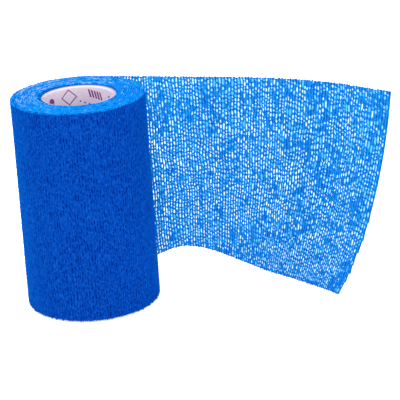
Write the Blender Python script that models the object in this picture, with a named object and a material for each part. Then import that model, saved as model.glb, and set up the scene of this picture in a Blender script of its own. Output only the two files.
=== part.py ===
"""Roll of cohesive elastic hand wrap, standing on end, with a free tail.

The wrap is one strip: an inner and an outer nonwoven web with elastic yarns between them, wound as
a spiral on a two-ply paper core.  The strip is built from the core outwards: the wound pack, the
lead turn that goes round it once, and the tail, which leaves the lead turn at a tangent and stands
on its lower hem.  The tail is cut into four lengths where it peels, stretches and folds.

Metres, +Z up.  The origin is on the base, at the middle of the bounding box.
"""
import math

import bmesh
import bpy

# ---- Driving dimensions (metres, degrees) ----
STRIP_WIDTH = 0.100            # the standing roll's height
WEB_THICKNESS = 0.00022        # each nonwoven web
YARN_SPACE = 0.00020           # room for the elastic yarns between the two webs
TURN_PITCH = 0.00085           # radial growth of the spiral in one turn
ROLL_OUTER_RADIUS = 0.0316     # at the end of the lead turn, where the tail leaves

CORE_BORE_RADIUS = 0.0159
CORE_LENGTH = 0.0993             # the strip's hems stand a little above the core's top end
LINER_THICKNESS = 0.0004
BOARD_THICKNESS = 0.0011
FIT_GAP = 0.0003               # between pieces that touch
TAPE_THICKNESS = 0.0001
TAPE_ARC_DEG = 50.0
TAPE_SETBACK = 0.004           # from the tape's ends to the roll's faces
LEAD_CLEARANCE = 0.00025       # radial, so that the lead turn can run round the pack

TAIL_START_HEADING_DEG = -14.0   # plan direction of the tail as it leaves the roll
TAIL_END_HEADING_DEG = -40.4     # plan direction of its last stretch
TAIL_STRAIGHT_LENGTH = 0.0705    # before the bend begins
TAIL_BEND_END = 0.128            # distance along the tail where the bend stops
TAIL_TOP_LENGTH = 0.1461         # along the upper hem, to the cut end
TAIL_FOOT_LENGTH = 0.1139        # along the lower hem
CUT_END_BOW = 0.0042             # how far the cut end bulges between its corners
HEM_LIFT = 0.0137                # height of the lower hem where the stretched strip necks
HEM_LIFT_PEAK = 0.040            # distance along the tail of that highest point
HEM_LIFT_END = 0.091             # where the lower hem is back on the floor
LEAN_START = 0.082               # where the foot starts to stand out in front of the upper hem
LEAN_SLOPE = 0.51                # foot's stand-out for each metre along the tail
LEAN_BLEND = 0.010               # length over which the lean sets in

HINGE_GAP = 0.0006               # between two lengths of the tail, so that a fold stays clear
STRETCH_JOINT_AT = 0.028         # distances along the tail
FOLD_JOINT_AT = 0.058
TIP_JOINT_AT = 0.082

ROLL_AXIS_XY = (-0.0547, -0.0002)   # puts the bounding box's middle on the origin

CORE_SEGMENTS = 64
PACK_SEGMENTS = 32               # for each turn
LEAD_SEGMENTS = 48
TAIL_COLUMNS = 8
END_ROWS = 8

# ---- Worked out from the dimensions above ----
LAMINATE_THICKNESS = 2 * WEB_THICKNESS + YARN_SPACE
OUTER_WEB_OFFSET = WEB_THICKNESS + YARN_SPACE
BOARD_INNER_RADIUS = CORE_BORE_RADIUS + LINER_THICKNESS + FIT_GAP
BOARD_OUTER_RADIUS = BOARD_INNER_RADIUS + BOARD_THICKNESS
TAPE_INNER_RADIUS = BOARD_OUTER_RADIUS + FIT_GAP
PACK_START_RADIUS = TAPE_INNER_RADIUS + TAPE_THICKNESS + FIT_GAP
LEAD_END_RADIUS = ROLL_OUTER_RADIUS - LAMINATE_THICKNESS
LEAD_START_RADIUS = LEAD_END_RADIUS - TURN_PITCH
PACK_END_RADIUS = LEAD_START_RADIUS - LAMINATE_THICKNESS - LEAD_CLEARANCE
PACK_TURNS = (PACK_END_RADIUS - PACK_START_RADIUS) / TURN_PITCH
TANGENT_ANGLE = math.radians(90.0 + TAIL_START_HEADING_DEG)
TAIL_START_RADIUS = ROLL_OUTER_RADIUS - LAMINATE_THICKNESS / 2

WEB_BLUE = (0.004, 0.085, 0.56, 1.0)
WEB_BACK_BLUE = (0.010, 0.130, 0.72, 1.0)
LINER_WHITE = (0.74, 0.68, 0.78, 1.0)
BOARD_GREY = (0.46, 0.42, 0.36, 1.0)
TAPE_WHITE = (0.82, 0.82, 0.80, 1.0)


def clear_scene():
    for old_object in list(bpy.data.objects):
        bpy.data.objects.remove(old_object, do_unlink=True)


def make_material(name, color, roughness):
    material = bpy.data.materials.new(name)
    material.use_nodes = True
    shader = material.node_tree.nodes["Principled BSDF"]
    shader.inputs["Base Color"].default_value = color
    shader.inputs["Roughness"].default_value = roughness
    shader.inputs["Metallic"].default_value = 0.0
    material.diffuse_color = color
    return material


def add_frame(name, parent, place):
    """An empty at a body's joint axis.  place is measured from the roll's axis."""
    frame = bpy.data.objects.new(name, None)
    frame.empty_display_size = 0.01
    bpy.context.scene.collection.objects.link(frame)
    if parent is None:
        frame.location = (ROLL_AXIS_XY[0] + place[0], ROLL_AXIS_XY[1] + place[1], 0.0)
    else:
        frame.parent = parent
        frame.location = (place[0] - parent["axis_x"], place[1] - parent["axis_y"], 0.0)
    frame["axis_x"] = place[0]
    frame["axis_y"] = place[1]
    return frame


def smooth_step(value):
    value = min(max(value, 0.0), 1.0)
    return value * value * (3.0 - 2.0 * value)


def add_sheet(name, frame, material, low_side, high_side):
    """A closed sheet between two grids of points, each a list of columns from bottom to top."""
    mesh_data = bmesh.new()
    sides = []
    for grid in (low_side, high_side):
        side = []
        for column in grid:
            shifted = [(x - frame["axis_x"], y - frame["axis_y"], z) for x, y, z in column]
            side.append([mesh_data.verts.new(point) for point in shifted])
        sides.append(side)
    low, high = sides
    last_column = len(low) - 1
    last_row = len(low[0]) - 1
    for i in range(last_column):
        for j in range(last_row):
            for side in sides:
                mesh_data.faces.new((side[i][j], side[i + 1][j], side[i + 1][j + 1], side[i][j + 1]))
        for j in (0, last_row):
            mesh_data.faces.new((low[i][j], low[i + 1][j], high[i + 1][j], high[i][j]))
    for j in range(last_row):
        for i in (0, last_column):
            mesh_data.faces.new((low[i][j], low[i][j + 1], high[i][j + 1], high[i][j]))
    finish_node(name, frame, material, mesh_data)


def finish_node(name, frame, material, mesh_data):
    bmesh.ops.recalc_face_normals(mesh_data, faces=mesh_data.faces)
    mesh = bpy.data.meshes.new(name)
    mesh_data.to_mesh(mesh)
    mesh_data.free()
    mesh.shade_smooth()
    mesh.set_sharp_from_angle(angle=math.radians(30.0))
    mesh.materials.append(material)
    node = bpy.data.objects.new(name, mesh)
    bpy.context.scene.collection.objects.link(node)
    node.parent = frame


def add_core_tube(name, frame, material, inner_radius, outer_radius):
    mesh_data = bmesh.new()
    rings = []
    for radius, height in ((inner_radius, 0.0), (inner_radius, CORE_LENGTH),
                           (outer_radius, CORE_LENGTH), (outer_radius, 0.0)):
        ring = []
        for i in range(CORE_SEGMENTS):
            angle = 2.0 * math.pi * i / CORE_SEGMENTS
            ring.append(mesh_data.verts.new((radius * math.cos(angle), radius * math.sin(angle), height)))
        rings.append(ring)
    for k, ring in enumerate(rings):
        following = rings[(k + 1) % len(rings)]
        for i in range(CORE_SEGMENTS):
            j = (i + 1) % CORE_SEGMENTS
            mesh_data.faces.new((ring[i], ring[j], following[j], following[i]))
    finish_node(name, frame, material, mesh_data)


def spiral_side(start_radius, growth, turns, segments, end_angle, offset, low=0.0, high=STRIP_WIDTH):
    """Columns along a clockwise spiral that ends at end_angle, offset outwards from its base radius."""
    count = math.ceil(turns * segments)
    columns = []
    for i in range(count + 1):
        turned = turns * i / count
        angle = end_angle + 2.0 * math.pi * (turns - turned)
        radius = start_radius + growth * turned + offset
        x = radius * math.cos(angle)
        y = radius * math.sin(angle)
        columns.append([(x, y, low), (x, y, high)])
    return columns


def add_core(frame, liner_material, board_material, tape_material):
    liner_outer_radius = CORE_BORE_RADIUS + LINER_THICKNESS
    add_core_tube("core_printed_liner", frame, liner_material, CORE_BORE_RADIUS, liner_outer_radius)
    add_core_tube("core_board_tube", frame, board_material, BOARD_INNER_RADIUS, BOARD_OUTER_RADIUS)
    start_angle = TANGENT_ANGLE + 2.0 * math.pi * PACK_TURNS
    tape_sides = [
        spiral_side(TAPE_INNER_RADIUS, 0.0, TAPE_ARC_DEG / 360.0, CORE_SEGMENTS, start_angle,
                    offset, TAPE_SETBACK, STRIP_WIDTH - TAPE_SETBACK)
        for offset in (0.0, TAPE_THICKNESS)]
    add_sheet("starter_tape", frame, tape_material, *tape_sides)


def add_webs(prefix, frame, inner_material, outer_material, side_at):
    """The strip's inner and outer web.  side_at(offset) gives the grid at an outward offset."""
    for web, material, offset in (("inner_web", inner_material, 0.0),
                                  ("outer_web", outer_material, OUTER_WEB_OFFSET)):
        add_sheet(f"{prefix}_{web}", frame, material, side_at(offset), side_at(offset + WEB_THICKNESS))


def pack_side(offset):
    return spiral_side(PACK_START_RADIUS, TURN_PITCH, PACK_TURNS, PACK_SEGMENTS, TANGENT_ANGLE, offset)


def lead_side(offset):
    """The lead turn stops short of the peel line, to leave the hinge gap."""
    stop_angle = TANGENT_ANGLE + HINGE_GAP / ROLL_OUTER_RADIUS
    turns = 1.0 - HINGE_GAP / (2.0 * math.pi * ROLL_OUTER_RADIUS)
    return spiral_side(LEAD_START_RADIUS, TURN_PITCH, turns, LEAD_SEGMENTS, stop_angle, offset)


def tail_heading(distance):
    bend = (distance - TAIL_STRAIGHT_LENGTH) / (TAIL_BEND_END - TAIL_STRAIGHT_LENGTH)
    turn = TAIL_END_HEADING_DEG - TAIL_START_HEADING_DEG
    return math.radians(TAIL_START_HEADING_DEG + turn * min(max(bend, 0.0), 1.0))


def tail_plan(distance):
    """Plan position of the strip's middle layer at a distance along the tail, and its heading."""
    x = TAIL_START_RADIUS * math.cos(TANGENT_ANGLE)
    y = TAIL_START_RADIUS * math.sin(TANGENT_ANGLE)
    steps = 200
    step = distance / steps
    for i in range(steps):
        heading = tail_heading((i + 0.5) * step)
        x += step * math.cos(heading)
        y += step * math.sin(heading)
    return x, y, tail_heading(distance)


def hem_height(distance):
    if distance < HEM_LIFT_PEAK:
        return HEM_LIFT * smooth_step(distance / HEM_LIFT_PEAK)
    fall = (distance - HEM_LIFT_PEAK) / (HEM_LIFT_END - HEM_LIFT_PEAK)
    return HEM_LIFT * (1.0 - smooth_step(fall))


def lean(distance):
    """How far the strip would stand out at floor level in front of its upper hem."""
    past = max(distance - LEAN_START, 0.0)
    if past < LEAN_BLEND:
        return LEAN_SLOPE * past * past / (2.0 * LEAN_BLEND)
    return LEAN_SLOPE * (past - LEAN_BLEND / 2.0)


def cut_end(level):
    """Distance along the tail of the cut end, at a level from 0 (floor) to 1 (upper hem)."""
    straight = TAIL_FOOT_LENGTH + (TAIL_TOP_LENGTH - TAIL_FOOT_LENGTH) * level
    return straight + CUT_END_BOW * 4.0 * level * (1.0 - level)


def tail_side(start, stop, rows, offset):
    """Columns of one length of the tail.  stop of None runs it to the cut end."""
    middle_offset = offset - LAMINATE_THICKNESS / 2.0
    columns = []
    for i in range(TAIL_COLUMNS + 1):
        column = []
        for j in range(rows + 1):
            level = j / rows
            end = cut_end(level) if stop is None else stop
            distance = start + (end - start) * i / TAIL_COLUMNS
            x, y, heading = tail_plan(distance)
            foot = hem_height(distance)
            z = foot + (STRIP_WIDTH - foot) * level
            y -= lean(distance) * (1.0 - z / STRIP_WIDTH)
            x -= middle_offset * math.sin(heading)
            y += middle_offset * math.cos(heading)
            column.append((x, y, z))
        columns.append(column)
    return columns


def add_tail(lead_frame, inner_material, outer_material):
    """Four lengths of tail, each on a frame at the joint that it moves about."""
    half_gap = HINGE_GAP / 2.0
    peel_axis = (ROLL_OUTER_RADIUS * math.cos(TANGENT_ANGLE), ROLL_OUTER_RADIUS * math.sin(TANGENT_ANGLE))
    lengths = (
        ("tail_root", half_gap, STRETCH_JOINT_AT - half_gap, 1, peel_axis),
        ("tail_near", STRETCH_JOINT_AT + half_gap, FOLD_JOINT_AT - half_gap, 1,
         tail_plan(STRETCH_JOINT_AT)[:2]),
        ("tail_mid", FOLD_JOINT_AT + half_gap, TIP_JOINT_AT - half_gap, 1, tail_plan(FOLD_JOINT_AT)[:2]),
        ("tail_end", TIP_JOINT_AT + half_gap, None, END_ROWS, tail_plan(TIP_JOINT_AT)[:2]))
    parent = lead_frame
    for name, start, stop, rows, axis in lengths:
        parent = add_frame(f"{name}_frame", parent, axis)
        add_webs(name, parent, inner_material, outer_material,
                 lambda offset: tail_side(start, stop, rows, offset))


def build():
    clear_scene()
    outer_web = make_material("web_outer", WEB_BLUE, 0.85)
    inner_web = make_material("web_inner", WEB_BACK_BLUE, 0.85)
    liner = make_material("core_liner", LINER_WHITE, 0.45)
    board = make_material("core_board", BOARD_GREY, 0.8)
    tape = make_material("starter_tape", TAPE_WHITE, 0.5)
    roll_frame = add_frame("roll_frame", None, (0.0, 0.0))
    add_core(roll_frame, liner, board, tape)
    add_webs("wound", roll_frame, inner_web, outer_web, pack_side)
    lead_frame = add_frame("lead_frame", roll_frame, (0.0, 0.0))
    add_webs("lead", lead_frame, inner_web, outer_web, lead_side)
    add_tail(lead_frame, inner_web, outer_web)


build()
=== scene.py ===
"""Looks of the cohesive elastic hand wrap: a roll standing on end, with a free tail.

The strip is one sheet from the lead turn to the cut end of the tail.  Its surface is described by a
distance along the strip (0 where it leaves the roll, negative on the lead turn) and a level across it
(0 at the lower hem, 1 at the upper hem).  Crosswise pleats, the slits between them and the lengthwise
elastic yarns are all laid out on that surface, then cut into one piece for each joint.
"""
import math

import bpy
import numpy as np
from mathutils import Matrix, Vector


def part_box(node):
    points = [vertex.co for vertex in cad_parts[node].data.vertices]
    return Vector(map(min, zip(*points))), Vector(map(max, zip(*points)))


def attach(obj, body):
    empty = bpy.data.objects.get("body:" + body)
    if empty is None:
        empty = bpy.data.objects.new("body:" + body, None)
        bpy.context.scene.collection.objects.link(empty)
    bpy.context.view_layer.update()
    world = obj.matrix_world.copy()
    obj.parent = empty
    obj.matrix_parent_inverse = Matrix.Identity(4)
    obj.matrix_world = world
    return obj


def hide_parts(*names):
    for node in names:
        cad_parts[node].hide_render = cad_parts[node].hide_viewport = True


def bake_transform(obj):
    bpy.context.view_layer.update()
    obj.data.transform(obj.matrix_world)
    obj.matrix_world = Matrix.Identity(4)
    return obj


MM = 0.001

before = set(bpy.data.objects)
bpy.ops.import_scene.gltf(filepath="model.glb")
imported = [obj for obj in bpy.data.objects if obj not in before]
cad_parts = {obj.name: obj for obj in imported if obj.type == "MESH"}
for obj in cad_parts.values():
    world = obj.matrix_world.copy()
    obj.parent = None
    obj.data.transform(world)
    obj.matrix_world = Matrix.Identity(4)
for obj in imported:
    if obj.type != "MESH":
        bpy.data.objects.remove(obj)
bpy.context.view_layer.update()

# ---- The frame's own places ----
BOARD_LOW, BOARD_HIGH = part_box("core_board_tube")
LINER_LOW, LINER_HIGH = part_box("core_printed_liner")
AXIS_X = (BOARD_LOW[0] + BOARD_HIGH[0]) / 2
AXIS_Y = (BOARD_LOW[1] + BOARD_HIGH[1]) / 2
CORE_TOP = BOARD_HIGH[2]
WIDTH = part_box("lead_outer_web")[1][2]

# ---- The strip, as in the CAD model (metres, degrees) ----
LAMINATE = 0.64 * MM
TURN_PITCH = 0.85 * MM
ROLL_OUTER_RADIUS = 31.6 * MM
LEAD_CLEARANCE = 0.25 * MM
HEADING_START = math.radians(-14.0)
HEADING_END = math.radians(-40.4)
STRAIGHT_LENGTH = 70.5 * MM
BEND_END = 128.0 * MM
TOP_LENGTH = 146.1 * MM
FOOT_LENGTH = 113.9 * MM
CUT_END_BOW = 4.2 * MM
HEM_LIFT = 13.7 * MM
HEM_LIFT_PEAK = 40.0 * MM
HEM_LIFT_END = 91.0 * MM
LEAN_START = 82.0 * MM
LEAN_SLOPE = 0.51
LEAN_BLEND = 10.0 * MM

# ---- The strip's own shape, which the CAD model leaves out ----
FAN_START = 30.0 * MM            # where the pleats begin to lean towards the cut end
FAN_POWER = 1.5
SNIPS = ((0.075, 0.5 * MM), (0.124, 0.9 * MM), (0.17, 0.5 * MM), (0.235, 0.7 * MM), (0.30, 0.5 * MM),
         (0.395, 0.4 * MM))      # level and length of each step that the scissors left in the cut end
SNIP_FADE = 0.05                 # levels over which each step runs back into line
SNIP_TRIM = 0.5 * MM             # the cut end is this much shorter below the steps' level,
SNIP_TRIM_LEVEL = 0.30           # from here,
SNIP_TRIM_FADE = 0.07            # setting in over this many levels
SNIP_REACH = 3 * MM              # of the strip, measured from the cut end, that the steps deform
ROLL_BULGE = 0.42 * MM           # how far the lead turn swells at its lower hem,
BULGE_LEVELS = 0.9               # fading out up to this level,
BULGE_ON_TAIL = 20 * MM          # and over this length of the tail

TANGENT_ANGLE = math.pi / 2 + HEADING_START
MIDDLE_RADIUS = ROLL_OUTER_RADIUS - LAMINATE / 2
LEAD_LENGTH = 2 * math.pi * (MIDDLE_RADIUS - TURN_PITCH / 2)
PACK_OUTER_RADIUS = ROLL_OUTER_RADIUS - TURN_PITCH - LAMINATE - LEAD_CLEARANCE

# ---- The web's fine structure ----
PLEAT_PITCH = 1.33 * MM
PITCH_GAIN = 0.06                # the pleats' pitch is this share wider at the cut end
PLEAT_HEIGHT = 0.20 * MM         # crest above the valleys, on each side of the strip
VALLEY_HEIGHT = 0.07 * MM        # valley above the strip's middle layer
PLEAT_WANDER = 0.48 * MM         # of a pleat to either side, over many rows,
PLEAT_JITTER = 0.22 * MM         # and from row to row
WANDER_FADE = 6 * MM             # from the strip's ends, where the pleats run straight
LEAD_UNEVENNESS = 0.42           # of the pleats' widths, as a share, on the lead turn
TAIL_UNEVENNESS = 0.18           # and on the tail
SWELL_UNEVENNESS = 0.45          # of the pleats' height, as a share
YARN_COUNT = 50
ROWS_PER_YARN = 4
ROWS = YARN_COUNT * ROWS_PER_YARN
YARN_ROW = ROWS_PER_YARN // 2    # the first yarn's row, counted from the lower hem
YARN_PINCH = 0.4                 # share of the pleat's height that is left where a yarn crosses
CLOSED_HALF_WIDTH = 0.04 * MM    # of the valley between two pleats
OPEN_HALF_WIDTH = (0.0, 0.129 * MM)
OPENING_FROM = 0.03 * MM         # a narrower slit stays shut and is only painted on the web: painted shade on the wound turns, painted light through the web on the tail
SLIT_ROWS = (2, 3, 4, 5, 7)      # lengths of slit, in rows,
SLIT_ROW_SHARES = (0.36, 0.32, 0.18, 0.09, 0.05)    # and the share of slits that have each
SLIT_TAPER = 0.6                 # less than 1 makes a slit's ends blunter
WOUND_SLIT_CHANCE = 0.60         # that the next slit of a valley is there
TAIL_SLIT_CHANCE = 0.86
SLIT_PATCHINESS = 0.25           # how much that chance varies from place to place,
SLIT_WIDTH_PATCHINESS = 0.35     # and the slits' widths with it
WIDER_NEAR_ROLL = 0.45           # the slits are wider by this share where the tail leaves the roll,
WIDER_UNTIL = 40.0 * MM          # back to their own width here,
WIDER_AT_END = 0.30              # and wider again by this share at the cut end
PAINTED_LIGHT_UNTIL = 62.0 * MM           # painted light on the inner web, lifting the roll's shadow, fades out up to here
SLACK_START = -18.0 * MM         # the strip is slack on the roll, up to here,
SLACK_END = 5.0 * MM             # and is stretched from here on
WOUND_VALLEY_RELIEF = 0.45       # relief is 1 on a pleat's crest and 0 in a slit; the lower it is, the more of the valleys' painted tone: shade on the roll, light through the web on the tail
TAIL_VALLEY_RELIEF = 0.68
HEM_RISE = (-0.30 * MM, 0.18 * MM)    # range of the hem points above the hem's line
HEM_VALLEY_DROP = 0.32 * MM      # how much lower the hem is between two pleats
HEM_NIBBLE = 0.55 * MM           # how much lower it is on a nibbled pleat,
HEM_NIBBLE_CHANCE = 0.07         # and the share of pleats that are
LOWER_HEM_FRAY = 1.7             # the lower hem is this many times as uneven as the upper
HEM_CALM = 8 * MM                # from a hem, where the yarns and slits come back into line
YARN_DRIFT_SIZE = 0.35 * MM      # how far a yarn wanders up or down
ROW_STAGGER_SIZE = 0.75          # how far a slit's ends do, in rows
YARN_RADIUS = 0.10 * MM
YARN_SIDES = 5


def smooth_step(value):
    value = np.clip(value, 0.0, 1.0)
    return value * value * (3.0 - 2.0 * value)


def smooth_noise(seed, shape, cells):
    """Values from -1 to 1 on a grid of that shape, smooth over that many steps each way."""
    rng = np.random.default_rng(seed)
    coarse = rng.uniform(-1.0, 1.0, [int(n / c) + 3 for n, c in zip(shape, cells)])
    rows = np.arange(shape[0]) / cells[0]
    columns = np.arange(shape[1]) / cells[1]
    i, j = rows.astype(int), columns.astype(int)
    u, v = smooth_step(rows - i)[:, None], smooth_step(columns - j)[None, :]
    low = coarse[i][:, j] * (1 - v) + coarse[i][:, j + 1] * v
    high = coarse[i + 1][:, j] * (1 - v) + coarse[i + 1][:, j + 1] * v
    return low * (1 - u) + high * u


# ---------------------------------------------------------------- the strip's surface
PLAN_STEP = 0.1 * MM
PLAN_DISTANCE = np.arange(0.0, 160 * MM, PLAN_STEP)
PLAN_HEADING = HEADING_START + (HEADING_END - HEADING_START) * np.clip(
    (PLAN_DISTANCE - STRAIGHT_LENGTH) / (BEND_END - STRAIGHT_LENGTH), 0.0, 1.0)
PLAN_X = MIDDLE_RADIUS * math.cos(TANGENT_ANGLE) + np.cumsum(np.cos(PLAN_HEADING)) * PLAN_STEP
PLAN_Y = MIDDLE_RADIUS * math.sin(TANGENT_ANGLE) + np.cumsum(np.sin(PLAN_HEADING)) * PLAN_STEP


def hem_height(distance):
    rise = smooth_step(distance / HEM_LIFT_PEAK)
    fall = 1.0 - smooth_step((distance - HEM_LIFT_PEAK) / (HEM_LIFT_END - HEM_LIFT_PEAK))
    return HEM_LIFT * rise * fall


def lean(distance):
    past = np.maximum(distance - LEAN_START, 0.0)
    return LEAN_SLOPE * np.where(past < LEAN_BLEND, past * past / (2 * LEAN_BLEND), past - LEAN_BLEND / 2)


def snips(level):
    """How far the cut end stands out: most just above each level where the scissors were set again."""
    steps = [step * np.clip(1.0 - (level - start) / SNIP_FADE, 0.0, 1.0) * (level >= start)
             for start, step in SNIPS]
    return sum(steps) - SNIP_TRIM * smooth_step((SNIP_TRIM_LEVEL - level) / SNIP_TRIM_FADE)


def fanned(station, level):
    """Distance along the strip of a pleat that starts at a station on the upper hem."""
    share = np.clip((station - FAN_START) / (TOP_LENGTH - FAN_START), 0.0, None) ** FAN_POWER
    pulled_back = (TOP_LENGTH - FOOT_LENGTH) * (1.0 - level)
    bow = CUT_END_BOW * 4.0 * level * (1.0 - level)
    cut_edge = smooth_step(1.0 - (TOP_LENGTH - station) / SNIP_REACH)
    return station - share * (pulled_back - bow) + cut_edge * snips(level)


def bulge(distance, level):
    """The roll is a little wider near its lower hem, and the tail leaves that behind."""
    at_level = 1.0 - smooth_step(level / BULGE_LEVELS)
    return ROLL_BULGE * at_level * (1.0 - smooth_step(distance / BULGE_ON_TAIL))


def strip_surface(distance, level, offset):
    """Points at a distance along the strip, a level across it and an offset outwards."""
    offset = offset + bulge(distance, level)
    on_tail = distance >= 0.0
    along = np.maximum(distance, 0.0)
    heading = np.interp(along, PLAN_DISTANCE, PLAN_HEADING)
    foot = hem_height(along)
    z = foot + (WIDTH - foot) * level
    tail_x = np.interp(along, PLAN_DISTANCE, PLAN_X) - offset * np.sin(heading)
    tail_y = np.interp(along, PLAN_DISTANCE, PLAN_Y) + offset * np.cos(heading)
    tail_y = tail_y - lean(along) * (1.0 - z / WIDTH)
    turned = np.maximum(-distance, 0.0) / LEAD_LENGTH
    angle = TANGENT_ANGLE + 2 * math.pi * turned
    radius = MIDDLE_RADIUS - TURN_PITCH * turned + offset
    x = np.where(on_tail, tail_x, radius * np.cos(angle))
    y = np.where(on_tail, tail_y, radius * np.sin(angle))
    return np.stack([AXIS_X + x, AXIS_Y + y, z], axis=-1)


# ---------------------------------------------------------------- pleats and slits
def pleat_stations():
    """Centres of the pleats along the upper hem, from the lead turn's start to the cut end."""
    rng = np.random.default_rng(11)
    total = LEAD_LENGTH + TOP_LENGTH
    count = int(total / PLEAT_PITCH)
    along = np.arange(count) * PLEAT_PITCH - LEAD_LENGTH
    unevenness = np.where(along < 0.0, LEAD_UNEVENNESS, TAIL_UNEVENNESS)
    gain = PITCH_GAIN * np.clip(along / TOP_LENGTH, 0.0, 1.0)
    steps = (1.0 + unevenness * rng.uniform(-1.0, 1.0, count)) * (1.0 + gain)
    edges = np.concatenate([[0.0], np.cumsum(steps)]) * total / steps.sum()
    return (edges[:-1] + edges[1:]) / 2 - LEAD_LENGTH


STATIONS = pleat_stations()
PLEATS = len(STATIONS)
LEVELS = np.arange(ROWS + 1) / ROWS


def slack(distance):
    """How slack the strip is: 1 on the roll, down to 0 where the tail is stretched."""
    return 1.0 - smooth_step((distance - SLACK_START) / (SLACK_END - SLACK_START))


def painted_light_share(distance):
    """How much light is painted on the inner web to lift the roll's shadow: 1 where the tail leaves the roll.
    """
    return 1.0 - smooth_step(distance / PAINTED_LIGHT_UNTIL)


def slit_pattern():
    """For the valley after each pleat: its half-width and relief at each row, and its open quads."""
    rng = np.random.default_rng(23)
    shape = (PLEATS, ROWS + 1)
    half_width = np.full(shape, CLOSED_HALF_WIDTH)
    slackness = slack(STATIONS)
    chance = TAIL_SLIT_CHANCE + (WOUND_SLIT_CHANCE - TAIL_SLIT_CHANCE) * slackness
    valley_relief = TAIL_VALLEY_RELIEF + (WOUND_VALLEY_RELIEF - TAIL_VALLEY_RELIEF) * slackness
    near_roll = 1.0 - smooth_step(STATIONS / WIDER_UNTIL)
    near_end = smooth_step((STATIONS - WIDER_UNTIL) / (TOP_LENGTH - WIDER_UNTIL))
    wider = 1.0 + WIDER_NEAR_ROLL * near_roll + WIDER_AT_END * near_end
    relief = np.repeat(valley_relief[:, None], ROWS + 1, axis=1)
    is_open = np.zeros((PLEATS, ROWS), bool)
    patches = 0.7 * smooth_noise(31, shape, (9, 26)) + smooth_noise(32, shape, (4, 9))
    for i in range(PLEATS - 1):
        row = int(rng.integers(1, 5))
        while row < ROWS - 2:
            stop = min(row + int(rng.choice(SLIT_ROWS, p=SLIT_ROW_SHARES)), ROWS - 1)
            if rng.uniform() < chance[i] + SLIT_PATCHINESS * patches[i, row]:
                inside = np.arange(row + 1, stop)
                taper = np.sin(math.pi * (inside - row) / (stop - row)) ** SLIT_TAPER
                relief[i, inside] = 0.0
                patchy = 1.0 + SLIT_WIDTH_PATCHINESS * patches[i, row]
                widest = rng.uniform(*OPEN_HALF_WIDTH) * patchy * wider[i]
                if STATIONS[i] > 0.0 and widest > OPENING_FROM:
                    is_open[i, row:stop] = True
                    half_width[i, inside] = CLOSED_HALF_WIDTH + widest * taper
            row = stop + int(rng.integers(1, 3))
    return half_width, relief, is_open


HALF_WIDTH, VALLEY_RELIEF, IS_OPEN = slit_pattern()


def strip_columns():
    """Station and outward height of the three columns (left edge, crest, right edge) of each pleat."""
    shape = (PLEATS, ROWS + 1)
    wander = PLEAT_WANDER * smooth_noise(41, shape, (5, 16)) + PLEAT_JITTER * smooth_noise(42, shape, (2, 5))
    from_end = np.minimum(STATIONS + LEAD_LENGTH, TOP_LENGTH - STATIONS)
    wander *= smooth_step(from_end / WANDER_FADE)[:, None]
    half = np.empty(PLEATS + 1)
    half[1:-1] = np.diff(STATIONS) / 2
    half[0], half[-1] = half[1], half[-2]
    centre = STATIONS[:, None] + wander
    middle = (centre[1:] + centre[:-1]) / 2
    left = np.empty(shape)
    right = np.empty(shape)
    left[1:] = middle + HALF_WIDTH[:-1]
    right[:-1] = middle - HALF_WIDTH[:-1]
    left[0] = centre[0] - half[0]
    right[-1] = centre[-1] + half[-1]
    crest = (left + right) / 2
    pinch = np.abs(np.sin(math.pi * (np.arange(ROWS + 1) - YARN_ROW) / ROWS_PER_YARN))
    pinch = YARN_PINCH + (1 - YARN_PINCH) * pinch
    swell = PLEAT_HEIGHT * pinch * (1.0 + SWELL_UNEVENNESS * smooth_noise(43, shape, (1, 3)))
    edge = np.full(shape, VALLEY_HEIGHT)
    stations = np.stack([left, crest, right], axis=1)
    heights = np.stack([edge, edge + swell, edge], axis=1)
    before = np.concatenate([VALLEY_RELIEF[:1], VALLEY_RELIEF[:-1]])
    reliefs = np.stack([before, np.ones(shape), VALLEY_RELIEF], axis=1)
    return stations, heights, reliefs


COLUMN_STATION, COLUMN_HEIGHT, COLUMN_RELIEF = strip_columns()


def hem_scallop():
    """How far each column's hem points stand above the hem's line, in levels."""
    rng = np.random.default_rng(47)
    rise = rng.uniform(*HEM_RISE, (PLEATS, 3))
    rise[:, [0, 2]] -= HEM_VALLEY_DROP
    nibbled = rng.uniform(size=PLEATS) < HEM_NIBBLE_CHANCE
    rise[nibbled] -= HEM_NIBBLE
    return rise / WIDTH


def column_quads(column, rows):
    """Quads between a column of the strip's points and the next column."""
    low = column * (ROWS + 1) + rows
    high = low + ROWS + 1
    return np.stack([low, high, high + 1, low + 1], axis=1)


def strip_quads(first, last):
    """Quads of pleats first to last - 1, each with the valley before it where that isn't slit open."""
    rows = np.arange(ROWS)
    quads = []
    for pleat in range(first, last):
        quads.append(column_quads(3 * pleat - 1, np.flatnonzero(~IS_OPEN[pleat - 1])))
        quads.append(column_quads(3 * pleat, rows))
        quads.append(column_quads(3 * pleat + 1, rows))
    return np.concatenate(quads)


def compact(quads, *columns_of_values):
    """The values that the quads use, and the quads renumbered to match."""
    used, renumbered = np.unique(quads, return_inverse=True)
    return renumbered.reshape(quads.shape), *(values[used] for values in columns_of_values)


# ---------------------------------------------------------------- mesh helpers
def round_axis(radius, angle):
    """The x and y of points round the roll's axis."""
    return AXIS_X + radius * np.cos(angle), AXIS_Y + radius * np.sin(angle)


def grid_quads(columns, rows, closed=False):
    """Quads of a grid of points, numbered up each column in turn.  Closed, it runs on from last to first."""
    steps = columns if closed else columns - 1
    i, j = np.meshgrid(np.arange(steps), np.arange(rows - 1), indexing="ij")
    low = (i * rows + j).ravel()
    high = ((i + 1) % columns * rows + j).ravel()
    return np.stack([low, high, high + 1, low + 1], axis=1)


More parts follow.
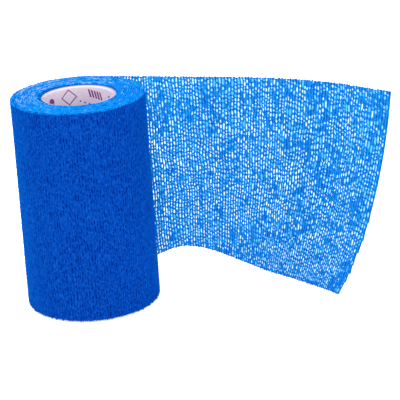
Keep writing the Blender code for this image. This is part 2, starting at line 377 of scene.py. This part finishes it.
def new_object(name, points, faces, material, **point_values):
    mesh = bpy.data.meshes.new(name)
    mesh.from_pydata(np.asarray(points).tolist(), [], [list(face) for face in faces])
    mesh.update()
    mesh.shade_smooth()
    for key, values in point_values.items():
        attribute = mesh.attributes.new(key, "FLOAT", "POINT")
        attribute.data.foreach_set("value", np.asarray(values, np.float32))
    mesh.materials.append(material)
    piece = bpy.data.objects.new(name, mesh)
    bpy.context.scene.collection.objects.link(piece)
    return piece


def rim_of(quads):
    """Directed edges that only one quad uses: the outline, and every slit's edge."""
    edges = np.concatenate([quads[:, [k, (k + 1) % 4]] for k in range(4)])
    key = np.sort(edges, axis=1)
    number = key[:, 0] * (key.max() + 1) + key[:, 1]
    _, index, count = np.unique(number, return_index=True, return_counts=True)
    return edges[index[count == 1]]


def two_sided(name, outer, inner, quads, material, **point_values):
    """A closed shell from two copies of one grid.  Point values are for both copies, or a row for each."""
    count = len(outer)
    rim = rim_of(quads)
    walls = np.stack([rim[:, 1], rim[:, 0], rim[:, 0] + count, rim[:, 1] + count], axis=1)
    faces = np.concatenate([quads, quads[:, ::-1] + count, walls])
    points = np.concatenate([outer, inner])
    doubled = {key: np.broadcast_to(values, (2, count)).ravel() for key, values in point_values.items()}
    return new_object(name, points, faces.tolist(), material, **doubled)


# ---------------------------------------------------------------- materials
FIBRE_ROUGHNESS = 0.85
FIBRE_SHEEN = 0.25
FIBRE_SHEEN_TINT = (0.0, 0.30, 1.0, 1.0)
FIBRE_SCALE = 2600.0             # of the bump, in features for each metre
PALEST_TOWARDS = (-0.6, 0.8, 0.0)     # where the roll's ends have the most pale fibre ends,
PALEST_REACH = 20 * MM           # and how far to each side of the axis that varies


def new_material(name, color, roughness, sheen=0.0, sheen_tint=(1.0, 1.0, 1.0, 1.0), specular=0.0):
    material = bpy.data.materials.new(name)
    material.use_nodes = True
    shader = material.node_tree.nodes["Principled BSDF"]
    shader.inputs["Base Color"].default_value = (*color, 1.0)
    shader.inputs["Roughness"].default_value = roughness
    shader.inputs["Sheen Weight"].default_value = sheen
    shader.inputs["Sheen Roughness"].default_value = 0.45
    shader.inputs["Sheen Tint"].default_value = sheen_tint
    shader.inputs["Specular IOR Level"].default_value = specular
    return material


def add_node(material, kind, inputs=(), **settings):
    node = material.node_tree.nodes.new(kind)
    for key, value in settings.items():
        setattr(node, key, value)
    for key, value in dict(inputs).items():
        if isinstance(value, bpy.types.NodeSocket):
            material.node_tree.links.new(value, node.inputs[key])
        else:
            node.inputs[key].default_value = value
    return node


def add_noise(material, scale, detail, stretch=(1.0, 1.0, 1.0)):
    """Noise in object space, in features for each metre."""
    place = add_node(material, "ShaderNodeTexCoord")
    mapping = add_node(material, "ShaderNodeMapping",
                       {"Vector": place.outputs["Object"], "Scale": stretch})
    noise = add_node(material, "ShaderNodeTexNoise",
                     {"Vector": mapping.outputs["Vector"], "Scale": scale, "Detail": detail})
    return noise.outputs["Fac"]


def add_ramp(material, factor, stops):
    ramp = add_node(material, "ShaderNodeValToRGB", {"Fac": factor})
    elements = ramp.color_ramp.elements
    while len(elements) < len(stops):
        elements.new(0.5)
    for element, (position, color) in zip(elements, stops):
        element.position = position
        element.color = (*color, 1.0)
    return ramp.outputs["Color"]


def mix_colors(material, factor, low, high):
    mix = add_node(material, "ShaderNodeMix", data_type="RGBA")
    for index, value in ((0, factor), (6, low), (7, high)):
        if isinstance(value, bpy.types.NodeSocket):
            material.node_tree.links.new(value, mix.inputs[index])
        else:
            mix.inputs[index].default_value = value if index == 0 else (*value, 1.0)
    return mix.outputs[2]


def finish_material(material, color, height, strength, distance):
    shader = material.node_tree.nodes["Principled BSDF"]
    bump = add_node(material, "ShaderNodeBump",
                    {"Height": height, "Strength": strength, "Distance": distance})
    material.node_tree.links.new(color, shader.inputs["Base Color"])
    material.node_tree.links.new(bump.outputs["Normal"], shader.inputs["Normal"])


def web_color(material, tones, valley, valley_edge, mottle_scale):
    """Fine upright streaks in the web's fibres, and another tone in the valleys between its pleats: painted
    shade on the wound turns, painted light shining through the thin web on the tail.
    """
    mottle = add_noise(material, mottle_scale, 3.0, stretch=(1.0, 1.0, 0.45))
    color = add_ramp(material, mottle, list(zip((0.32, 0.5, 0.68), tones)))
    relief = add_node(material, "ShaderNodeAttribute", attribute_name="relief")
    in_valley = add_ramp(material, relief.outputs["Fac"],
                         [(valley_edge - 0.4, (1.0, 1.0, 1.0)), (valley_edge, (0.0, 0.0, 0.0))])
    # the valley tone is painted: shade in the wound turns' valleys and shut slits, light through the thin web
    # on the tail
    return mix_colors(material, in_valley, color, valley)


def web_material(name, look, **variants):
    """Nonwoven web.  Its look turns into a variant where the mesh's attribute of that name rises to 1."""
    material = new_material(name, look[0][1], FIBRE_ROUGHNESS, FIBRE_SHEEN, FIBRE_SHEEN_TINT)
    color = web_color(material, *look)
    for attribute_name, variant in variants.items():
        share = add_node(material, "ShaderNodeAttribute", attribute_name=attribute_name)
        color = mix_colors(material, share.outputs["Fac"], color, web_color(material, *variant))
    fibres = add_noise(material, FIBRE_SCALE, 4.0)
    finish_material(material, color, fibres, 0.5, 0.12 * MM)
    return material


def end_material(name, dark, middle, light, valley, fleck):
    """The hems on the roll's ends: painted shade in the grooves between turns, and flecked with pale fibre
    ends, more so towards one side.
    """
    material = new_material(name, middle, FIBRE_ROUGHNESS, FIBRE_SHEEN, FIBRE_SHEEN_TINT)
    mottle = add_noise(material, 1000.0, 3.0)
    color = add_ramp(material, mottle, [(0.30, dark), (0.5, middle), (0.70, light)])
    relief = add_node(material, "ShaderNodeAttribute", attribute_name="relief")
    # painted shade in the grooves between the hem turns, where relief is low
    in_valley = add_ramp(material, relief.outputs["Fac"], [(0.0, (0.85,) * 3), (0.6, (0.0, 0.0, 0.0))])
    color = mix_colors(material, in_valley, color, valley)
    place = add_node(material, "ShaderNodeTexCoord")
    towards_back_left = add_node(material, "ShaderNodeVectorMath",
                                 {0: place.outputs["Object"], 1: PALEST_TOWARDS}, operation="DOT_PRODUCT")
    on_axis = PALEST_TOWARDS[0] * AXIS_X + PALEST_TOWARDS[1] * AXIS_Y
    more = add_node(material, "ShaderNodeMapRange", {
        "Value": towards_back_left.outputs["Value"],
        "From Min": on_axis - PALEST_REACH,
        "From Max": on_axis + PALEST_REACH,
        "To Min": 0.0,
        "To Max": 0.20})
    raised = add_node(material, "ShaderNodeMath",
                      {0: relief.outputs["Fac"], 1: 0.5, 2: more.outputs["Result"]}, operation="MULTIPLY_ADD")
    mask = add_ramp(material, raised.outputs["Value"], [(0.69, (0.0, 0.0, 0.0)), (0.86, (1.0, 1.0, 1.0))])
    color = mix_colors(material, mask, color, fleck)
    fibres = add_noise(material, FIBRE_SCALE, 4.0)
    finish_material(material, color, fibres, 0.6, 0.15 * MM)
    return material


def paper_material(name, color, shade, scale):
    material = new_material(name, color, 0.55, specular=0.25)
    tone = add_noise(material, scale, 4.0)
    mottled = add_ramp(material, tone, [(0.3, shade), (0.7, color)])
    finish_material(material, mottled, add_noise(material, scale * 2, 4.0), 0.25, 0.05 * MM)
    return material


# Each web look: its dark, middle and light tones, its valleys' tone, their edge and the mottle's scale.
# the wound look's dark valley tone is painted shade in the valleys and shut slits between the pleats
WOUND_LOOK = (((0.0004, 0.021, 0.195), (0.0008, 0.034, 0.243), (0.0030, 0.060, 0.310)),
              (0.0001, 0.007, 0.112), 0.55, 1500.0)
# the tail's tones are brighter than the wound turns': painted light shining through the thin tail. Its pale
# valley tone is painted light through the thin web between the pleats.
PAINTED_BACKLIT_TAIL_LOOK = (((0.0001, 0.050, 0.31), (0.0003, 0.097, 0.395), (0.005, 0.188, 0.53)),
             (0.07, 0.385, 0.69), 0.80, 1400.0)
# painted light: the tail's look lifted where the roll's shadow falls on the inner web near the roll
PAINTED_LIGHT_LOOK = (((0.0001, 0.100, 0.53), (0.0004, 0.19, 0.67), (0.006, 0.34, 0.84)),
             (0.10, 0.56, 0.92), 0.80, 1400.0)
# the slack variant turns the tail's brighter, painted-light tones into the darker wound look on the roll; the
# pale variant paints light on the inner web to lift the roll's shadow
STRIP_WEB = web_material("strip_web", PAINTED_BACKLIT_TAIL_LOOK, pale=PAINTED_LIGHT_LOOK, slack=WOUND_LOOK)
YARN = new_material("elastic_yarn", (0.001, 0.09, 0.44), 0.8)
END_WEB = end_material("roll_end_web", (0.0006, 0.085, 0.40), (0.002, 0.175, 0.60), (0.012, 0.26, 0.69),
                       (0.0006, 0.030, 0.24), (0.22, 0.35, 0.73))
LINER = paper_material("core_liner_paper", (0.66, 0.58, 0.69), (0.60, 0.52, 0.62), 700.0)
BOARD = paper_material("core_board_paper", (0.41, 0.38, 0.44), (0.34, 0.31, 0.37), 1500.0)
PRINT = paper_material("core_print_ink", (0.20, 0.05, 0.21), (0.16, 0.04, 0.17), 900.0)
TAPE = paper_material("starter_tape_film", (0.80, 0.80, 0.76), (0.74, 0.74, 0.70), 400.0)


# ---------------------------------------------------------------- the strip's pieces
HEM_FADE = smooth_step(np.minimum(LEVELS, 1 - LEVELS) * WIDTH / HEM_CALM)
YARN_DRIFT = YARN_DRIFT_SIZE / WIDTH * smooth_noise(53, (PLEATS, ROWS + 1), (8, 40)) * HEM_FADE
ROW_STAGGER = ROW_STAGGER_SIZE / ROWS * smooth_noise(59, (PLEATS, ROWS + 1), (1, 14)) * HEM_FADE


def strip_points(side):
    """All the strip's points on its outer (+1) or inner (-1) side, one row of the array for each."""
    scallop = hem_scallop()
    level = np.repeat((LEVELS + YARN_DRIFT + ROW_STAGGER)[:, None], 3, axis=1)
    level[:, :, -1] += scallop
    level[:, :, 0] -= LOWER_HEM_FRAY * scallop
    distance = fanned(COLUMN_STATION, np.clip(level, 0, 1))
    return strip_surface(distance, level, side * COLUMN_HEIGHT).reshape(-1, 3)


STRIP_OUTER = strip_points(1)
STRIP_INNER = strip_points(-1)
STRIP_RELIEF = COLUMN_RELIEF.ravel()
# slack also swaps the tail's brighter tones, painted light through the thin tail, for the darker wound look
STRIP_SLACK = slack(COLUMN_STATION).ravel()
# painted light on the inner web, lifting the roll's shadow near the roll
STRIP_PAINTED_LIGHT = painted_light_share(COLUMN_STATION).ravel()


def tail_piece(name, first, last):
    quads, outer, inner, relief, slackness, pale = compact(
        strip_quads(first, last), STRIP_OUTER, STRIP_INNER, STRIP_RELIEF, STRIP_SLACK, STRIP_PAINTED_LIGHT)
    # pale paints light on the inner side only, lifting the roll's shadow near the roll
    return two_sided(name, outer, inner, quads, STRIP_WEB, relief=relief, slack=slackness,
                     pale=np.stack([np.zeros_like(pale), pale]))


def yarn_path(first, last, row):
    """Stations of a yarn: each pleat's crest, and the middle of the valley on each side of it."""
    crest = COLUMN_STATION[first:last, 1, row]
    left_edge = COLUMN_STATION[first:last, 0, row]
    right_edge = COLUMN_STATION[first - 1:last - 1, 2, row]
    end = COLUMN_STATION[last - 1, 2, row]
    if last < PLEATS:
        end = (end + COLUMN_STATION[last, 0, row]) / 2
    return np.append(np.stack([(left_edge + right_edge) / 2, crest], axis=1).ravel(), end)


def yarn_piece(name, first, last):
    """The elastic yarns of that length of strip, each a closed tube between the two webs."""
    points, faces = [], []
    for row in range(YARN_ROW, ROWS, ROWS_PER_YARN):
        path = yarn_path(first, last, row)
        level = LEVELS[row] + np.interp(path, STATIONS, YARN_DRIFT[:, row])
        start = len(points)
        for k in range(YARN_SIDES):
            turn = 2 * math.pi * k / YARN_SIDES
            side_level = level + YARN_RADIUS * math.sin(turn) / WIDTH
            side = strip_surface(fanned(path, level), side_level, YARN_RADIUS * math.cos(turn))
            points.extend(side.tolist())
        count = len(path)
        for k in range(YARN_SIDES):
            a, b = start + k * count, start + (k + 1) % YARN_SIDES * count
            faces.extend((a + i, b + i, b + i + 1, a + i + 1) for i in range(count - 1))
        faces.append([start + k * count for k in range(YARN_SIDES)])
        faces.append([start + k * count + count - 1 for k in reversed(range(YARN_SIDES))])
    return new_object(name, points, faces, YARN)


def lead_piece(name, last):
    """The lead turn, pleats 0 to last - 1: its outer side, and hems that reach in to the wound pack."""
    slip_radius = PACK_OUTER_RADIUS + LEAD_CLEARANCE
    columns = 3 * last
    outer = STRIP_OUTER.reshape(-1, ROWS + 1, 3)[:columns]
    lips = []
    for row in (0, ROWS):
        lip = outer[:, row].copy()
        planar = lip[:, :2] - (AXIS_X, AXIS_Y)
        planar *= (slip_radius / np.linalg.norm(planar, axis=1))[:, None]
        lip[:, :2] = planar + (AXIS_X, AXIS_Y)
        lips.append(lip[:, None])
    grid = np.concatenate([lips[0], outer, lips[1]], axis=1)
    relief, slackness = (np.pad(values.reshape(-1, ROWS + 1)[:columns], ((0, 0), (1, 1)), mode="edge")
                         for values in (STRIP_RELIEF, STRIP_SLACK))
    rows = grid.shape[1]
    quads = grid_quads(columns, rows)
    # relief paints shade in the valleys and shut slits between the lead turn's pleats
    piece = new_object(name, grid.reshape(-1, 3), quads.tolist(), STRIP_WEB,
                       relief=relief.ravel(), slack=slackness.ravel())
    piece.data.materials.append(END_WEB)
    quad_row = quads[:, 0] % rows
    on_hem = (quad_row == 0) | (quad_row == rows - 2)
    piece.data.polygons.foreach_set("material_index", on_hem.astype(np.int32))
    return piece


# ---------------------------------------------------------------- the wound pack
PACK_COLUMNS = 640               # for each turn
PACK_INNER_RADIUS = BOARD_HIGH[0] - AXIS_X + 0.12 * MM
PACK_TURNS = (PACK_OUTER_RADIUS - PACK_INNER_RADIUS) / TURN_PITCH
HEM_PROFILE = np.array([0.0, 0.3, 0.7])                # across one turn, in shares of the pitch
HEM_PROFILE_HEIGHT = np.array([-0.42, -0.02, -0.02]) * MM
# relief 0 at each turn's start paints shade in the groove between the hems
HEM_PROFILE_RELIEF = np.array([0.0, 1.0, 1.0])
HEM_RELIEF_PATCHES = 0.60        # how much the relief varies over long stretches of hem,
HEM_RELIEF_FLECKS = 0.40         # and over short ones
HEM_WAVE = 0.14 * MM             # of the hems, to either side,
HEM_BUMP = 0.20 * MM             # up and down,
TURN_STEP = 0.22 * MM            # and of whole turns, up and down
PACK_RIM_SQUEEZE = 0.02          # share left of what the wave would push past the outer turn
LIP_DEPTH = 0.40 * MM            # of the first turn's hem, below the strip's,
LIP_ROOT_DEPTH = 0.62 * MM       # and of its root at the core
LIP_RELIEF = 0.75


def overhang(angle):
    """How far the first turn's upper hem leans in over the core's rim: most on the -X side."""
    return (0.55 - 0.30 * np.cos(angle) - 0.25 * np.sin(angle)) * MM


def pack_end(angle, turned, sign, seed):
    """Points of the hems on one end face, three for each column of the spiral."""
    shape = (len(turned), 3)
    wave = smooth_noise(seed, shape, (2.2, 1.0)) * (0.0, 1.0, 1.0)
    radius = PACK_INNER_RADIUS + TURN_PITCH * (turned[:, None] + HEM_PROFILE) + HEM_WAVE * wave
    radius = np.minimum(radius, PACK_OUTER_RADIUS + PACK_RIM_SQUEEZE * (radius - PACK_OUTER_RADIUS))
    bump = smooth_noise(seed + 1, shape, (2.6, 1.0)) + 0.6 * smooth_noise(seed + 2, shape, (11, 1))
    height = HEM_PROFILE_HEIGHT + HEM_BUMP * bump
    layer = TURN_STEP * smooth_noise(seed + 3, (len(turned), 1), (PACK_COLUMNS * 0.9, 1))
    z = WIDTH / 2 + sign * (WIDTH / 2 + height + layer)
    return np.stack([*round_axis(radius, angle[:, None]), z], axis=-1).reshape(-1, 3)


def pack_lip(angle, radius, height):
    """One turn of points at that height, at a radius or at one for each angle."""
    points = np.empty((len(angle), 3))
    points[:, 0], points[:, 1] = round_axis(radius, angle)
    points[:, 2] = height
    return points


def wound_pack():
    """The wound turns: a spiral of hems on each end face, on one closed body."""
    count = int(PACK_TURNS * PACK_COLUMNS)
    extra = count + PACK_COLUMNS + 1
    turned = np.arange(extra) / PACK_COLUMNS
    angle = TANGENT_ANGLE - 2 * math.pi * (turned - PACK_TURNS)
    first_turn = angle[:PACK_COLUMNS + 1]
    top = np.concatenate([
        pack_end(angle, turned, 1, 61),
        pack_lip(first_turn, PACK_INNER_RADIUS, WIDTH - LIP_ROOT_DEPTH),
        pack_lip(first_turn, PACK_INNER_RADIUS - overhang(first_turn), WIDTH - LIP_DEPTH)])
    bottom = np.concatenate([
        pack_end(angle, turned, -1, 67),
        pack_lip(first_turn, PACK_INNER_RADIUS, LIP_ROOT_DEPTH),
        pack_lip(first_turn, PACK_INNER_RADIUS, LIP_DEPTH)])
    relief = np.tile(HEM_PROFILE_RELIEF, (extra, 1))
    relief = relief + HEM_RELIEF_PATCHES * smooth_noise(71, (extra, 3), (15, 3))
    relief = relief + HEM_RELIEF_FLECKS * smooth_noise(73, (extra, 3), (4, 1))
    relief = np.concatenate([relief.ravel(), np.full(2 * (PACK_COLUMNS + 1), LIP_RELIEF)])
    quads = []
    for column in range(PACK_COLUMNS):
        root = 3 * extra + column
        lip = root + PACK_COLUMNS + 1
        quads.append((root, root + 1, lip + 1, lip))
        quads.append((lip, lip + 1, 3 * (column + 1), 3 * column))
    for column in range(count):
        a, b, outward = 3 * column, 3 * (column + 1), 3 * (column + PACK_COLUMNS)
        quads.append((a, b, b + 1, a + 1))
        quads.append((a + 1, b + 1, b + 2, a + 2))
        quads.append((a + 2, b + 2, outward + 3, outward))
    quads, top, bottom, relief = compact(np.array(quads), top, bottom, relief)
    return two_sided("wound_pack", top, bottom, quads, END_WEB, relief=relief)


# ---------------------------------------------------------------- the core
CORE_COLUMNS = 160
CORE_ROWS = 101
RIM_ROUNDING = 0.15 * MM         # at most, and at most this share of the ply's thickness:
RIM_ROUNDING_SHARE = 0.3
RIM_LENGTH = 2 * MM              # over which the rim is rounded
SEAM_HALF_WIDTH = 0.012          # of the paper strips' helical seam, as a share of a turn
LINER_PLY = 0.20 * MM
PLY_GAP = 0.02 * MM


def core_tube(name, inner_radius, outer_radius, seam_turns, seam_depth, material):
    """One ply of the core, with rounded rims and the helical seam of its paper strip."""
    rounding = min(RIM_ROUNDING, RIM_ROUNDING_SHARE * (outer_radius - inner_radius))
    z = np.tile(np.linspace(0.0, CORE_TOP, CORE_ROWS), (CORE_COLUMNS, 1))
    angle = 2 * math.pi * np.arange(CORE_COLUMNS)[:, None] / CORE_COLUMNS
    rim = rounding * (1 - smooth_step(np.minimum(z, CORE_TOP - z) / RIM_LENGTH)) ** 3
    phase = (z / CORE_TOP * seam_turns - angle / (2 * math.pi)) % 1.0
    seam = seam_depth * np.exp(-((phase - 0.5) / SEAM_HALF_WIDTH) ** 2)
    inner, outer = (np.stack([*round_axis(radius, angle), z], axis=-1).reshape(-1, 3)
                    for radius in (inner_radius + rim + seam, outer_radius - rim - seam))
    return two_sided(name, outer, inner, grid_quads(CORE_COLUMNS, CORE_ROWS, closed=True), material)


# ---------------------------------------------------------------- generic print inside the core
PRINT_RADIUS = (LINER_HIGH[0] - LINER_LOW[0]) / 2 - 0.4 * MM
PRINT_DEPTH = 0.03 * MM


def bar(width, height, slant):
    """Shape of a bar, u and v from -1 to 1, leaning by slant metres from bottom to top."""
    return lambda u, v: (u * width / 2 + v * slant / 2, v * height / 2)


def disc(radius):
    return lambda u, v: (radius * u * np.sqrt(1 - v * v / 2), radius * v * np.sqrt(1 - u * u / 2))


def diamond_frame(radius, thickness):
    """A hollow square on its corner.  u runs round it, v across its line."""
    def shape(u, v):
        turn = (u + 1) * 2.0
        reach = radius + v * thickness / 2
        side = np.floor(np.minimum(turn, 3.9999))
        along = turn - side
        corners = np.array([(1, 0), (0, 1), (-1, 0), (0, -1), (1, 0)], float)
        start, stop = corners[side.astype(int)], corners[side.astype(int) + 1]
        place = start + (stop - start) * along[..., None]
        return place[..., 0] * reach, place[..., 1] * reach
    return shape


def patch(shape, theta, height, cells_u, cells_v):
    """A thin closed patch on the liner's inner wall."""
    u, v = np.meshgrid(np.linspace(-1, 1, cells_u + 1), np.linspace(-1, 1, cells_v + 1), indexing="ij")
    across, up = shape(u, v)
    sides = [np.stack([*round_axis(radius, theta + across / radius), height + up], axis=-1).reshape(-1, 3)
             for radius in (PRINT_RADIUS + PRINT_DEPTH, PRINT_RADIUS - PRINT_DEPTH)]
    return sides, grid_quads(cells_u + 1, cells_v + 1)


MARK_ROWS = 6                    # down the core, each with every mark twice
MARK_ROW_PITCH = 16.5 * MM
MARK_ROW_SHIFT = math.radians(41)
MARK_ROW_TOP = 4.9 * MM          # from the core's top end to the middle of the first row
# Each mark: its shape, its place in degrees round the core, its height in the row, its cells each way.
MARKS = (
    (diamond_frame(3.6 * MM, 0.65 * MM), 110.0, 0.0, (40, 1)),
    (disc(1.9 * MM), 146.0, -0.4 * MM, (8, 8)),
    *((bar(0.85 * MM, 3.8 * MM, 0.9 * MM), 74.0 - 5.2 * k, (1.4 - 0.3 * k) * MM, (3, 6)) for k in range(5)),
    *((disc(0.42 * MM), 91.0 - 7.5 * k, -(2.4 + 0.7 * k) * MM, (4, 4)) for k in range(4)),
    (disc(0.7 * MM), 31.0, 0.9 * MM, (4, 4)))


def print_marks():
    """Rows of plain marks down the core: a hollow diamond, a hatch of bars, dots and a disc."""
    outer, inner, quads, start = [], [], [], 0
    for row in range(MARK_ROWS):
        middle = CORE_TOP - MARK_ROW_TOP - row * MARK_ROW_PITCH
        for repeat in range(2):
            turn = row * MARK_ROW_SHIFT + repeat * math.pi
            for shape, degrees, height, cells in MARKS:
                (low, high), mark_quads = patch(shape, turn + math.radians(degrees), middle + height, *cells)
                outer.append(low)
                inner.append(high)
                quads.append(mark_quads + start)
                start += len(low)
    outer, inner = np.concatenate(outer), np.concatenate(inner)
    return two_sided("core_print_marks", inner, outer, np.concatenate(quads)[:, ::-1], PRINT)


# ---------------------------------------------------------------- build the pieces, and attach the roll's and the lead turn's
SEAMS = (-1.5 * MM, 11.0 * MM, 48.0 * MM, 70.0 * MM)     # places along the strip where the next piece starts
# Each length of tail: the two bodies that it joins, and where it begins and ends its turn between them.
TAIL_LENGTHS = (
    ("tail_root", "lead_turn", "tail_root", -0.5 * MM, 9.0 * MM),
    ("tail_near", "tail_root", "tail_near", 12.0 * MM, 46.0 * MM),
    ("tail_mid", "tail_near", "tail_mid", 51.0 * MM, 64.0 * MM),
    ("tail_end", "tail_mid", "tail_end", 75.0 * MM, 91.0 * MM))


def plan_point(distance):
    """The point on the floor below that place on the tail, or on its line carried back past the roll."""
    x = AXIS_X + float(np.interp(distance, PLAN_DISTANCE, PLAN_X))
    y = AXIS_Y + float(np.interp(distance, PLAN_DISTANCE, PLAN_Y))
    if distance < 0.0:
        x += distance * math.cos(HEADING_START)
        y += distance * math.sin(HEADING_START)
    return x, y, 0.0


def pleat_at(distance):
    return int(np.searchsorted(STATIONS, distance))


def build_roll():
    pack = wound_pack()
    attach(pack, "roll")
    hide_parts("wound_inner_web", "wound_outer_web")
    liner = core_tube("core_liner_ply", PRINT_RADIUS, PRINT_RADIUS + LINER_PLY, 2.0, 0.05 * MM, LINER)
    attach(liner, "roll")
    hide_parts("core_printed_liner")
    board_inner = PRINT_RADIUS + LINER_PLY + PLY_GAP
    board_outer = (BOARD_HIGH[0] - BOARD_LOW[0]) / 2
    board = core_tube("core_board_ply", board_inner, board_outer, -1.5, 0.06 * MM, BOARD)
    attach(board, "roll")
    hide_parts("core_board_tube")
    marks = print_marks()
    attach(marks, "roll")
    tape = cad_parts["starter_tape"]
    for material_slot in tape.material_slots:
        material_slot.material = TAPE
    return pack


def build_strip(pack):
    """The lead turn, and the four lengths of tail with their yarns."""
    seams = [pleat_at(distance) for distance in SEAMS] + [PLEATS]
    lead = lead_piece("lead_turn_web", seams[0])
    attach(lead, "lead_turn")
    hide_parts("lead_inner_web", "lead_outer_web")
    for (name, body, following, start, end), first, last in zip(TAIL_LENGTHS, seams, seams[1:]):
        web = tail_piece(f"{name}_web", first, last)
        yarns = yarn_piece(f"{name}_yarns", first, last)
        for piece, slot_name in ((web, "web_inner"), (yarns, "web_outer")):
            plan_point(start)
            plan_point(end)
            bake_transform(piece)
        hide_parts(f"{name}_inner_web", f"{name}_outer_web")


# ---------------------------------------------------------------- floor, lights and camera
FLOOR_HALF = 3.0
FLOOR_Z = -0.6 * MM              # clear of the lower hem's lowest points
FLOOR_GLOW = 0.45
# Each light: its place, its diameter and its power in watts.
LIGHTS = {
    "top_light": ((-0.25, -0.15, 1.3), 1.2, 14.0),
    "front_light": ((0.1, -1.2, 0.6), 0.9, 4.0),
    "right_light": ((0.9, -0.75, 0.25), 0.7, 6.0),
    "left_light": ((-1.1, -0.1, 0.3), 0.7, 3.4)}
CAMERA_TARGET = Vector((AXIS_X + 0.0529, AXIS_Y, 0.0450))
CAMERA_DISTANCE = 0.7658
CAMERA_ELEVATION = math.radians(20.10)
CAMERA_ROLL = math.radians(-3.39)
CAMERA_LENS = 146.8              # mm, on a sensor 36 mm wide


def build_stage():
    corners = [(-FLOOR_HALF, -FLOOR_HALF, FLOOR_Z), (FLOOR_HALF, -FLOOR_HALF, FLOOR_Z),
               (FLOOR_HALF, FLOOR_HALF, FLOOR_Z), (-FLOOR_HALF, FLOOR_HALF, FLOOR_Z)]
    white = new_material("studio_floor", (0.95, 0.95, 0.95), 0.9)
    shader = white.node_tree.nodes["Principled BSDF"]
    shader.inputs["Emission Color"].default_value = (1.0, 1.0, 1.0, 1.0)
    shader.inputs["Emission Strength"].default_value = FLOOR_GLOW
    floor = new_object("studio_floor", corners, [(0, 1, 2, 3)], white)


def build_lights():
    """An even white surround, and a soft round lamp for each row of the table."""
    world = bpy.context.scene.world or bpy.data.worlds.new("studio")
    bpy.context.scene.world = world
    world.use_nodes = True
    background = world.node_tree.nodes["Background"]
    background.inputs["Color"].default_value = (1.0, 1.0, 1.0, 1.0)
    background.inputs["Strength"].default_value = 1.0
    middle = Vector((0.0, 0.0, WIDTH / 2))
    for name, (place, size, power) in LIGHTS.items():
        data = bpy.data.lights.new(name, "AREA")
        data.shape = "DISK"
        data.size = size
        data.energy = power
        light = bpy.data.objects.new(name, data)
        light.location = place
        light.rotation_euler = (middle - Vector(place)).to_track_quat("-Z", "Y").to_euler()
        bpy.context.scene.collection.objects.link(light)


def build_camera():
    """A long lens from the front, above the floor, turned a little on its own axis."""
    forward = Vector((0.0, math.cos(CAMERA_ELEVATION), -math.sin(CAMERA_ELEVATION)))
    right = Vector((1.0, 0.0, 0.0))
    up = right.cross(forward)
    turned_right = right * math.cos(CAMERA_ROLL) + up * math.sin(CAMERA_ROLL)
    turned_up = up * math.cos(CAMERA_ROLL) - right * math.sin(CAMERA_ROLL)
    data = bpy.data.cameras.new("camera")
    data.lens = CAMERA_LENS
    data.sensor_width = 36.0
    data.clip_start = 0.01
    camera = bpy.data.objects.new("camera", data)
    rotation = Matrix((turned_right, turned_up, -forward)).transposed().to_4x4()
    camera.matrix_world = Matrix.Translation(CAMERA_TARGET - forward * CAMERA_DISTANCE) @ rotation
    bpy.context.scene.collection.objects.link(camera)
    bpy.context.scene.camera = camera


build_camera()
build_stage()
build_lights()
build_strip(build_roll())
bpy.context.scene.view_settings.view_transform = "Standard"
